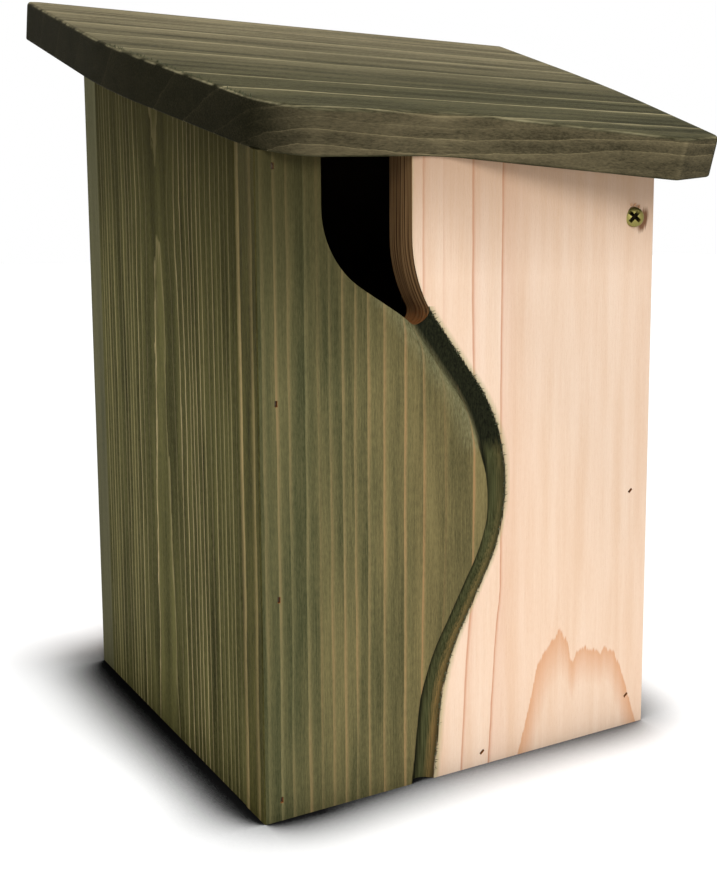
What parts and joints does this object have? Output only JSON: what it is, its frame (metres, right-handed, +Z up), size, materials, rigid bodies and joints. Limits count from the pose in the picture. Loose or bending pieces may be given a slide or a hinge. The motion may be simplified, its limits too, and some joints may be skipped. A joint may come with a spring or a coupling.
{
  "type": "bird nest box",
  "caption": "Softwood nest box for garden birds: sloping board roof with a wavy edge, entrance cut down from the roof line, routed S groove and a swing-out cleaning door.",
  "frame": {"origin": "middle of the box's underside, between the outer faces of the walls", "axes": "+Z up, -Y towards the front with the entrance, +X towards the viewer's right"},
  "size_m": [0.2336, 0.2011, 0.2811],
  "materials": {
    "two_tone_softwood": "bare, with olive green stain left of the groove",
    "bare_softwood": "bare, planed",
    "green_stained_softwood": "olive green stain, worn",
    "dark_stained_softwood": "dark olive stain",
    "yellow_zinc_steel": "yellow zinc plated",
    "brad_steel": "dull, galvanised"
  },
  "bodies": {
    "box": {"front_board": "two_tone_softwood", "back_panel": "bare_softwood", "left_side_panel": "green_stained_softwood", "lower_right_panel": "bare_softwood", "floor_panel": "bare_softwood", "roof_board": "dark_stained_softwood", "front_left_brads": "brad_steel", "front_right_brads": "brad_steel", "front_floor_brad": "brad_steel", "back_left_brads": "brad_steel", "back_right_brads": "brad_steel", "back_floor_brad": "brad_steel", "roof_front_brads": "brad_steel", "roof_left_brads": "brad_steel", "roof_back_brads": "brad_steel"},
    "door": {"cleaning_door": "bare_softwood", "front_pivot_screw": "yellow_zinc_steel", "rear_pivot_screw": "yellow_zinc_steel"}
  },
  "joints": [
    {"name": "door_swing", "type": "hinge", "parent": "box", "child": "door", "pos_m": [0.0718, 0, 0.1947], "axis": [0, -1, 0], "range_deg": [0, 110]}
  ]
}
